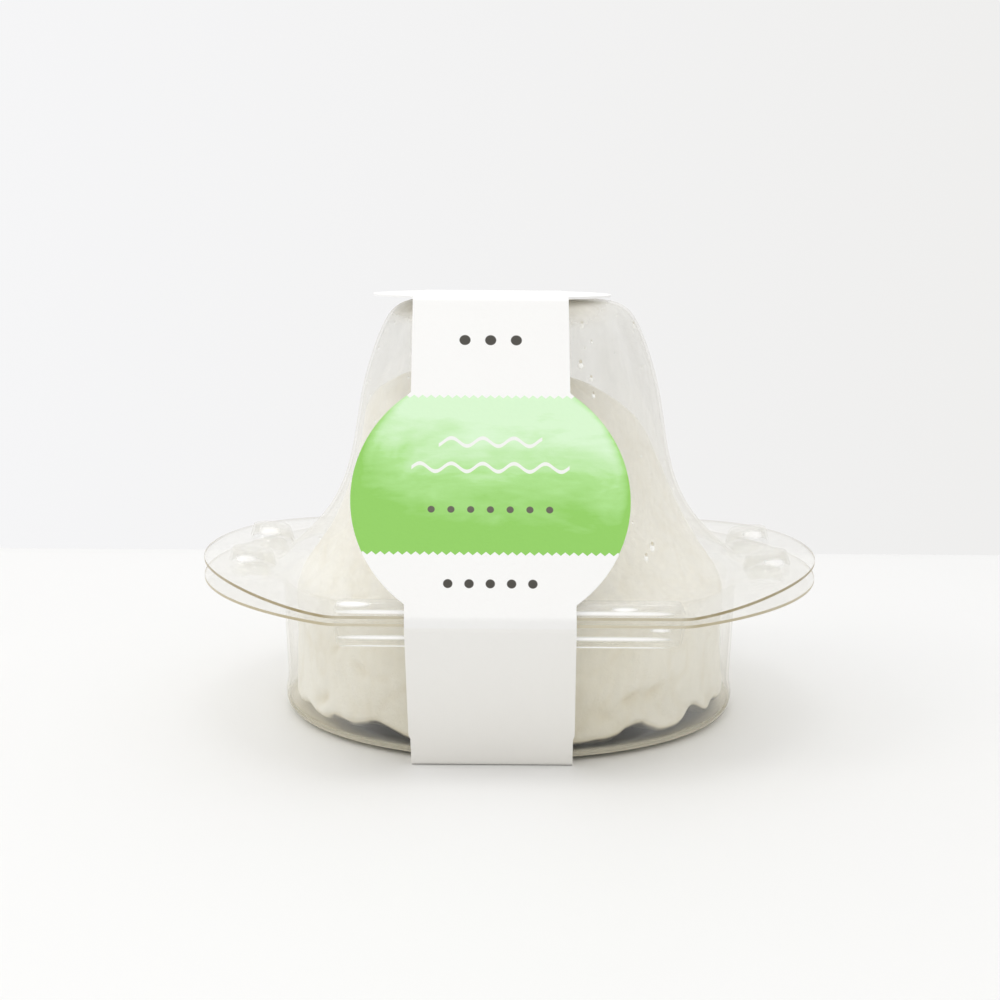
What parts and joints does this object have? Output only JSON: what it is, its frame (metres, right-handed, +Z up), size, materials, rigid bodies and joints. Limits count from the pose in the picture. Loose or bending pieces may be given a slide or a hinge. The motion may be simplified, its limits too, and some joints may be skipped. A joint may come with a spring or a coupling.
{
  "type": "soft goat cheese",
  "caption": "Bell-shaped soft goat cheese with a white rind, shut in a clear tray and bell lid held by a white card sleeve with a green medallion.",
  "frame": {"origin": "middle of the pack's base, on the surface that it stands on", "axes": "+Z up, +X along the pack's long side to the right of a viewer who faces the medallion, -Y towards that viewer"},
  "size_m": [0.1198, 0.1054, 0.0813],
  "materials": {
    "rind": "soft matt rind, a little moist",
    "clear_sheet": "clear glossy formed sheet",
    "clear_sheet_lid": "clear glossy formed sheet",
    "card": "white coated card, semi-gloss"
  },
  "bodies": {
    "root": {"cheese": "rind", "tray": "clear_sheet", "lid": "clear_sheet_lid", "sleeve": "card"}
  },
  "joints": []
}
